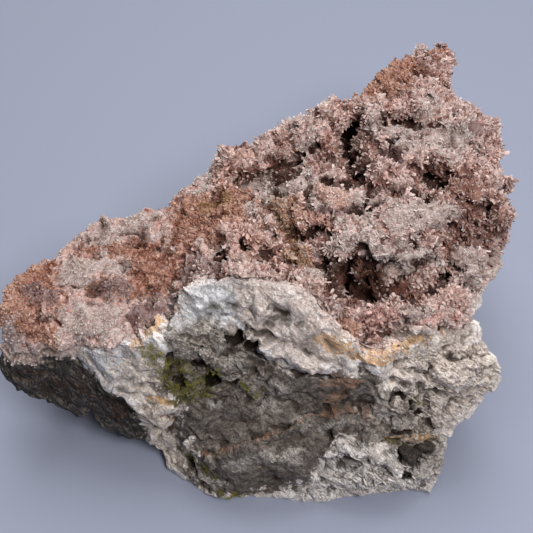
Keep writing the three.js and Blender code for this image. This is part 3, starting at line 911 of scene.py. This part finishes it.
# zone, colour of the edges, colour of the heart, how much they cover
CRYSTAL_ZONES = [
    ("sugar", "d8c3bc", "c3a69f", 0.85),
    ("brown", "875849", "6d4235", 0.85),
    ("rust", "9b6a56", "ad8a7d", 0.85),
    ("honey", "7d5d3b", "a1805b", 0.75),
    ("frost", "cbbeb8", "a29490", 0.85),
    ("lilac", "745e5d", "8f7c7b", 0.85),
    ("rose", "c99a91", "d4b0a7", 0.8),
    ("salmon", "cfa190", "dabab0", 0.7),
    # deep: painted shade over the darkest caverns of the mass
    ("deep", "683c31", "4a2e27", 0.85),
]
# Grown-together calcite under the loose crystals: waxy, pink, and red-brown in the hollows, partly iron stain and
# partly painted shade.
sugar_calcite = mineral(
    "sugary_pink_calcite",
    ground=("cea59a", "bc8d82", "d4b7af", "a57164"),
    zones=[zone + ("86594b", 0.35) for zone in [("rim", "d8cec9", "c8b7b0", 0.8)] + CRYSTAL_ZONES],
    lines=[(None, 2.0, 3, (0.5, 0.6, 0.6), "855546", 0.5, -0.5)],
    speckle=(1.0, "7a4a3c", 0.6),
    # painted highlight on convex edges, then painted shade in creases, hollows and carved holes
    edge_highlight=(0.58, 0.85, "dcd2cd", 0.4),
    edge=(0.42, 0.1, "653c31", 0.8),
    hollow=(0.48, 0.2, "3c221a", 0.95),
    pit="43291f",
    roughness=0.6,
    gloss=0.3,
    bump=(0.6, 0.3),
)
crust.data.materials.append(sugar_calcite)
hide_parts("crystal_crust")
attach(crust, "root")

# --- Loose crystals ----------------------------------------------------------------------------
# What stands on the crust, one crystal at a time: thin pink blades over the mass, the crest and the
# horn, rusty grains over the druse, and white sugar grains in the pale patches.


def template(name, verts, faces, tips):
    """The shape that a growth repeats, root at the origin. tips is 0 at its heart and 1 at its edges."""
    mesh = bpy.data.meshes.new(name)
    mesh.from_pydata(verts, [], faces)
    store(mesh, "tip", tips)
    shape = bpy.data.objects.new(name, mesh)
    bpy.context.scene.collection.objects.link(shape)
    return shape


def growth_tree(name):
    """Grows copies of a crystal on the skin where its attribute "grow" says how thickly."""
    tree = bpy.data.node_groups.new(name, "GeometryNodeTree")
    tree.is_modifier = True
    tree.interface.new_socket("Skin", in_out="INPUT", socket_type="NodeSocketGeometry")
    for label, kind in (("Crystal", "Object"), ("Finish", "Material"), ("Spacing", "Float"), ("Density", "Float"),
                        ("Size Low", "Vector"), ("Size High", "Vector"), ("Lean", "Float"), ("Sunk", "Float"),
                        ("Grain", "Vector"), ("Sweep", "Float"), ("Stray", "Float"), ("Seed", "Int")):
        tree.interface.new_socket(label, in_out="INPUT", socket_type="NodeSocket" + kind)
    tree.interface.new_socket("Crystals", in_out="OUTPUT", socket_type="NodeSocketGeometry")
    start = add(tree, "NodeGroupInput").outputs
    grow = add(tree, "GeometryNodeInputNamedAttribute", {"Name": "grow"}, data_type="FLOAT")
    roots = add(tree, "GeometryNodeDistributePointsOnFaces",
                {"Mesh": start["Skin"], "Distance Min": start["Spacing"], "Density Max": start["Density"],
                 "Density Factor": grow.outputs[0], "Seed": start["Seed"]}, distribute_method="POISSON")
    crystal = add(tree, "GeometryNodeObjectInfo", {"Object": start["Crystal"]}).outputs["Geometry"]
    place = add(tree, "GeometryNodeInputPosition")
    laid = add(tree, "FunctionNodeAxesToRotation",
               {"Primary Axis": roots.outputs["Normal"], "Secondary Axis": start["Grain"]},
               primary_axis="Z", secondary_axis="X")
    wave = add(tree, "ShaderNodeTexNoise", {"Vector": place, "Scale": per(9.0), "Detail": 1.0})
    swept = add(tree, "ShaderNodeMath", {0: wave.outputs[0], 1: -0.5}, operation="ADD")
    swept = add(tree, "ShaderNodeMath", {0: swept, 1: start["Sweep"]}, operation="MULTIPLY")
    chance = add(tree, "FunctionNodeRandomValue", {2: -1.0, 3: 1.0, "Seed": start["Seed"]}, data_type="FLOAT")
    spin = add(tree, "ShaderNodeMath", {0: chance.outputs[1], 1: start["Stray"], 2: swept}, operation="MULTIPLY_ADD")
    least = add(tree, "ShaderNodeMath", {0: start["Lean"], 1: -1.0}, operation="MULTIPLY")
    lean_a = add(tree, "FunctionNodeRandomValue", {2: least, 3: start["Lean"], "Seed": 11}, data_type="FLOAT")
    lean_b = add(tree, "FunctionNodeRandomValue", {2: least, 3: start["Lean"], "Seed": 12}, data_type="FLOAT")
    turn = add(tree, "ShaderNodeCombineXYZ", {"X": lean_a.outputs[1], "Y": lean_b.outputs[1], "Z": spin})
    turned = add(tree, "FunctionNodeRotateRotation", {"Rotation": laid, "Rotate By": turn}, rotation_space="LOCAL")
    size = add(tree, "FunctionNodeRandomValue", {0: start["Size Low"], 1: start["Size High"], "Seed": start["Seed"]},
               data_type="FLOAT_VECTOR")
    up = add(tree, "ShaderNodeVectorMath", {0: roots.outputs["Normal"], "Scale": start["Sunk"]}, operation="SCALE")
    down = add(tree, "ShaderNodeVectorMath", {0: up, "Scale": -1.0}, operation="SCALE")
    sunk = add(tree, "GeometryNodeSetPosition", {"Geometry": roots, "Offset": down})
    grown = add(tree, "GeometryNodeInstanceOnPoints",
                {"Points": sunk, "Instance": crystal, "Rotation": turned, "Scale": size.outputs[0]})
    chance = add(tree, "FunctionNodeRandomValue", {2: 0.0, 3: 1.0, "Seed": 13}, data_type="FLOAT")
    tinted = add(tree, "GeometryNodeStoreNamedAttribute",
                 {"Geometry": grown, "Name": "tint", "Value": chance.outputs[1]},
                 data_type="FLOAT", domain="INSTANCE")
    real = add(tree, "GeometryNodeRealizeInstances", {"Geometry": tinted})
    made = add(tree, "GeometryNodeSetMaterial", {"Geometry": real, "Material": start["Finish"]})
    add(tree, "NodeGroupOutput", {0: made})
    return tree


growth = growth_tree("growth")


def inside(level, low=0.4, high=0.6):
    """A level made sharper: 0 up to low, 1 from high on."""
    return np.clip((level - low) / (high - low), 0, 1)


def grow_on(ground, name, grow, **inputs):
    """A piece made of crystals grown on a copy of the ground's skin."""
    skin = ground.data.copy()
    store(skin, "grow", grow)
    piece = bpy.data.objects.new(name, skin)
    bpy.context.scene.collection.objects.link(piece)
    for key in ("size_low", "size_high"):
        inputs[key] = [side * MM for side in inputs[key]]
    for key in ("spacing", "sunk"):
        inputs[key] *= MM
    run_tree(piece, growth, **inputs)
    piece.data.materials.clear()
    piece.data.materials.append(inputs["finish"])
    return piece


def crystal_finish(name, heart, rims, zones, deep, ridge_highlight, roughness):
    """A small crystal's finish: its heart and its rims, each between two colours by its own tint, then the
    zones it grows in, then painted shade on crystals deep in hollows and a painted highlight on those on ridges."""
    material, tree = new_finish(name)
    place = add(tree, "ShaderNodeTexCoord").outputs["Object"]
    tint, tip, height = (add(tree, "ShaderNodeAttribute", attribute_name=mark).outputs["Fac"]
                         for mark in ("tint", "tip", "hollow"))
    hearts, edges = (add(tree, "ShaderNodeMix", {0: tint, 6: linear(first), 7: linear(second)}, data_type="RGBA")
                     for first, second in (heart, rims))
    cloud = add(tree, "ShaderNodeTexNoise", {"Vector": place, "Scale": per(5.0), "Detail": 3.0})
    shift = add(tree, "ShaderNodeMath", {0: cloud.outputs[0], 1: 2.4, 2: -1.2}, operation="MULTIPLY_ADD")
    reach = add(tree, "ShaderNodeMath", {0: tip, 1: shift}, operation="ADD", use_clamp=True)
    tone = add(tree, "ShaderNodeMix", {0: reach, 6: hearts.outputs[2], 7: edges.outputs[2]},
               data_type="RGBA").outputs[2]
    spread = add(tree, "ShaderNodeMath", {0: tint, 1: 0.5, 2: -0.25}, operation="MULTIPLY_ADD")
    for zone, first, second, amount in zones:
        near = add(tree, "ShaderNodeAttribute", attribute_name=zone).outputs["Fac"]
        level = add(tree, "ShaderNodeMath", {0: near, 1: spread}, operation="ADD")
        stain = add(tree, "ShaderNodeMix", {0: reach, 6: linear(second), 7: linear(first)}, data_type="RGBA")
        tone = lay(tree, tone, level, 0.4, 0.6, amount, stain.outputs[2])
    # painted shade on crystals deep in hollows, painted highlight on those on ridges
    for low, high, colour, amount in ((0.48, 0.18, deep, 0.9), (0.58, 0.95, ridge_highlight, 0.4)):
        tone = lay(tree, tone, height, low, high, amount, linear(colour))
    fine = add(tree, "ShaderNodeTexNoise", {"Vector": place, "Scale": per(0.8), "Detail": 2.0})
    relief = add(tree, "ShaderNodeBump", {"Height": fine.outputs[0], "Distance": 0.2 * MM, "Strength": 0.8})
    shader = add(tree, "ShaderNodeBsdfPrincipled", {"Base Color": tone, "Roughness": roughness, "Normal": relief})
    add(tree, "ShaderNodeOutputMaterial", {"Surface": shader})
    return material


# Thin plates of clear to milky calcite: pale pink to salmon towards their tops and rims, red-brown towards the root,
# partly iron stain and partly painted shade where each blade meets the mass.
# its last two colours: painted shade on blades deep in hollows and a painted highlight on those on ridges
bladed_calcite = crystal_finish("bladed_calcite", ("935d4e", "734235"), ("dec3ba", "c39184"), CRYSTAL_ZONES,
                                "482c24", "e2cfc8", 0.45)
# Small grown-together rhombs, stained orange-brown by iron.
# its last two colours: painted shade deep in hollows and a painted highlight on ridges
rusty_calcite = crystal_finish("iron_stained_calcite", ("c3a495", "9f7361"), ("9b624a", "7e4b3b"), CRYSTAL_ZONES[3:],
                               "553224", "cfaa95", 0.5)
# Clean small rhombs like coarse sugar, milky and slightly glassy.
# its last two colours: painted shade deep in hollows and a painted highlight on ridges
white_calcite = crystal_finish("milky_calcite", ("cfbfb9", "bba8a2"), ("baa49b", "a4887f"), CRYSTAL_ZONES[3:],
                               "624439", "dcd3cf", 0.55)

BLADE_OUTLINE = [(-0.30, 0.0), (-0.50, 0.42), (-0.34, 0.86), (0.04, 1.0), (0.44, 0.74), (0.36, 0.08)]
blade_verts = [(x, 0, z) for x, z in BLADE_OUTLINE] + [(0, 0.5, 0.45), (0, -0.5, 0.45)]
count = len(BLADE_OUTLINE)
blade_faces = [(i, (i + 1) % count, count + 1) for i in range(count)]
blade_faces += [((i + 1) % count, i, count) for i in range(count)]
blade = template("blade", blade_verts, blade_faces, [0, 0.5, 0.9, 1, 0.9, 0, 0.45, 0.45])

RHOMB_LEAN = 0.28
rhomb_verts = [(x / 2 + RHOMB_LEAN * z, y / 2 + RHOMB_LEAN * z, z) for z in (0, 1) for y in (-1, 1) for x in (-1, 1)]
rhomb_verts[7] = (0.62, 0.55, 0.82)
rhomb_verts[4] = (-0.24, -0.3, 0.9)
rhomb_faces = [(0, 2, 3, 1), (4, 5, 7, 6), (0, 1, 5, 4), (2, 6, 7, 3), (0, 4, 6, 2), (1, 3, 7, 5)]
rhomb = template("rhomb", rhomb_verts, rhomb_faces, [0, 0, 0, 0, 0.8, 1, 1, 0.7])

WING = (14, 26)  # millimetres left of the middle where blades give way to druse

skin = crust.data
facing = read(skin.vertex_normals, "vector", 3)[:, 2]
spots = read(skin.vertices, "co", 3)
seen = inside(facing, -0.75, -0.3) * value(skin, "free")  # not on steep undersides or on the hidden side
rust, frost, honey, sugar_patch = (value(skin, zone) for zone in ("rust", "frost", "honey", "sugar"))
on_wing = inside(-spots[:, 0] / MM, *WING)
sheet = np.maximum(inside(rust, 0.35, 0.55), on_wing)
cavern = np.maximum(inside(-value(skin, "hollow"), -0.25, -0.1), 0.6 * value(skin, "pit"))
pale = np.maximum(inside(frost), 0.8 * inside(sugar_patch, 0.45, 0.7))
shaded = inside(value(skin, "deep"))
stained = inside(value(skin, "lilac"))

# Sizes, spacing and how deep the roots are sunk are in millimetres, density is the most to a square metre.
BLADES = dict(crystal=blade, finish=bladed_calcite, grain=(1, 0, 0))
GRAINS = dict(crystal=rhomb, grain=(1, 0, 0), lean=1.0, sweep=22.0, stray=0.8)
blades = grow_on(crust, "calcite_blades",
                 seen * (1 - sheet) * (1 - 0.9 * pale) * (1 - 0.6 * shaded) * (1 - cavern),
                 spacing=0.63, density=2.0e6, size_low=(0.6, 0.16, 0.9), size_high=(1.4, 0.28, 2.5),
                 lean=0.5, sunk=0.4, sweep=9.0, stray=0.35, seed=1, **BLADES)
grains = grow_on(crust, "druse_grains", seen * np.maximum(inside(rust, 0.3, 0.6), inside(honey, 0.3, 0.6)),
                 finish=rusty_calcite, spacing=0.7, density=1.8e6, size_low=(0.5, 0.5, 0.5),
                 size_high=(1.2, 1.1, 1.3), sunk=0.25, seed=2, **GRAINS)
sugar = grow_on(crust, "sugar_grains",
                seen * (0.1 + 0.4 * pale + 0.25 * on_wing * (1 - inside(frost))) * (1 - inside(rust))
                * (1 - cavern) * (1 - 0.8 * stained),
                finish=white_calcite, spacing=0.65, density=1.6e6, size_low=(0.3, 0.3, 0.3),
                size_high=(0.8, 0.75, 0.8), sunk=0.2, seed=3, **GRAINS)
plates = grow_on(crust, "calcite_plates",
                 seen * np.maximum(inside(value(skin, "fans")), 0.05 * (1 - sheet) * (1 - cavern)),
                 spacing=1.3, density=5.0e5, size_low=(1.0, 0.3, 2.0), size_high=(2.0, 0.5, 3.8),
                 lean=0.35, sunk=0.6, sweep=10.0, stray=0.4, seed=4, **BLADES)
for piece, slot in ((blades, "calcite_blades"), (plates, "calcite_blades"), (grains, "druse_grains"),
                    (sugar, "druse_grains")):
    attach(piece, "root")

# --- On the rock -------------------------------------------------------------------------------
# Pale crystal grains that straggle over the rim on to the rock, splinters along the rock's fibres, and
# dry moss that has rooted in the sheltered hollows of its face.

ground = rock.data
rim, mossy, shade = (inside(value(ground, zone)) for zone in ("rim", "mossy", "underside"))
splintered = np.maximum(inside(value(ground, "fan")), 0.8 * inside(value(ground, "knob")))
upward = inside(read(ground.vertex_normals, "vector", 3)[:, 2], -0.3, 0.1) * value(ground, "free")
rim_grains = grow_on(rock, "rim_grains", 0.7 * rim * upward * (1 - 0.6 * shade), finish=white_calcite,
                     spacing=0.7, density=1.4e6, size_low=(0.3, 0.3, 0.3), size_high=(0.9, 0.8, 0.9), sunk=0.2,
                     seed=5, **GRAINS)

SPLINTER_OUTLINE = [(-0.5, 0.0, 0.0), (-0.15, 0.5, 0.1), (0.35, 0.3, 0.0), (0.5, -0.1, 0.1), (0.1, -0.5, 0.0)]
splinter_verts = SPLINTER_OUTLINE + [(-0.2, 0.0, 1.0), (0.25, 0.05, 0.8), (0, 0, -1.0)]
splinter_faces = [(0, 5, 1), (1, 5, 6), (1, 6, 2), (2, 6, 3), (3, 6, 4), (4, 6, 5), (4, 5, 0)]
splinter_faces = [face[::-1] for face in splinter_faces] + [(i, (i + 1) % 5, 7)[::-1] for i in range(5)]
splinter = template("splinter", splinter_verts, splinter_faces, [0.3, 0.5, 0.5, 0.5, 0.5, 1, 1, 0])
# Single fibres of broken calcite: silky, beige-white with dirty roots.
# its last two colours: painted shade deep in hollows and a painted highlight on ridges
splintery_calcite = crystal_finish("splintery_calcite", ("b3a79c", "c9beb3"), ("efe6de", "d9cec4"), [], "5a4e45",
                                   "eee5dd", 0.7)
splinters = grow_on(rock, "calcite_splinters", 0.6 * splintered * upward, crystal=splinter,
                    finish=splintery_calcite, spacing=1.3, density=3.0e5, size_low=(1.8, 0.35, 0.3),
                    size_high=(4.0, 0.6, 0.5), lean=0.12, sunk=0.1, grain=(0.8, -0.3, -0.55), sweep=1.5,
                    stray=0.15, seed=6)

SPRIGS = 5  # to a tuft
CLUMP = 3.0  # size of the clumps that the tufts stand in, in millimetres
tuft_verts, tuft_faces, tuft_tips = [], [], []
for i in range(SPRIGS):
    turn = 2 * math.pi * i / SPRIGS
    out = Vector((math.cos(turn), math.sin(turn), 0))
    side = Vector((-out.y, out.x, 0))
    start = len(tuft_verts)
    tuft_verts += [out * 0.05 + side * 0.16, out * 0.05 - side * 0.16, out * 0.3 + Vector((0, 0, -0.1)),
                   out * (0.45 + 0.25 * (i % 2)) + Vector((0, 0, 1.0 - 0.3 * (i % 3)))]
    tuft_faces += [(start, start + 2, start + 1), (start, start + 1, start + 3), (start + 1, start + 2, start + 3),
                   (start + 2, start, start + 3)]
    tuft_tips += [0.1, 0.1, 0.0, 1.0]
tuft = template("tuft", tuft_verts, tuft_faces, tuft_tips)
# Dry moss: olive sprigs, dark at the root and yellow at the tips, quite matt.
# its last two colours: painted shade deep in hollows and a painted highlight on ridges
dried_moss = crystal_finish("dried_moss", ("4a4720", "5f5b28"), ("a39c42", "7f7a34"), [], "2a2814", "a09a3c", 0.95)
clumps = np.clip(0.55 + 1.2 * waves(read(ground.vertices, "co", 3), CLUMP), 0, 1) * value(ground, "foot")
moss = grow_on(rock, "dry_moss", mossy * clumps, crystal=tuft, finish=dried_moss, spacing=0.55, density=3.0e6,
               size_low=(0.6, 0.6, 0.5), size_high=(1.3, 1.3, 1.1), lean=0.5, sunk=0.05, grain=(1, 0, 0),
               sweep=22.0, stray=1.0, seed=7)
for piece, slot in ((rim_grains, "druse_grains"), (splinters, "calcite_rock"), (moss, "dry_moss")):
    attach(piece, "root")
for shape in (blade, rhomb, splinter, tuft):
    bpy.data.objects.remove(shape)

# --- Floor and light ---------------------------------------------------------------------------
# A plain pale table, soft lights from a window behind, the ceiling and the room in front, and very
# little light from all round.

FLOOR_SIDE = 3.0  # metres
floor_mesh = bpy.data.meshes.new("floor")
half = FLOOR_SIDE / 2
floor_mesh.from_pydata([(-half, -half, 0), (half, -half, 0), (half, half, 0), (-half, half, 0)], [], [(0, 1, 2, 3)])
floor = bpy.data.objects.new("floor", floor_mesh)
bpy.context.scene.collection.objects.link(floor)
paint = bpy.data.materials.new("matt_table_paint")
paint.use_nodes = True
paint.node_tree.nodes["Principled BSDF"].inputs["Base Color"].default_value = linear("9398ab")
paint.node_tree.nodes["Principled BSDF"].inputs["Roughness"].default_value = 0.8
floor_mesh.materials.append(paint)

sky = bpy.data.worlds.new("room")
sky.use_nodes = True
sky.node_tree.nodes["Background"].inputs["Color"].default_value = linear("dfe3f0")
sky.node_tree.nodes["Background"].inputs["Strength"].default_value = 0.02
bpy.context.scene.world = sky

AIM = Vector((0, 0, 0.04))  # the middle of the specimen
# place and width in metres, watts
LIGHTS = {"window": ((0.0, 0.42, 0.92), 0.7, 6.8), "ceiling": ((0.2, 0.0, 1.05), 0.7, 3.0),
          "room": ((0.32, -0.5, 0.85), 0.4, 6.3)}
for name, (place, width, watts) in LIGHTS.items():
    lamp_data = bpy.data.lights.new(name, "AREA")
    lamp_data.shape = "DISK"
    lamp_data.size = width
    lamp_data.energy = watts
    lamp = bpy.data.objects.new(name, lamp_data)
    lamp.location = place
    lamp.rotation_euler = (AIM - lamp.location).to_track_quat("-Z", "Y").to_euler()
    bpy.context.scene.collection.objects.link(lamp)
bpy.context.scene.view_settings.view_transform = "Standard"
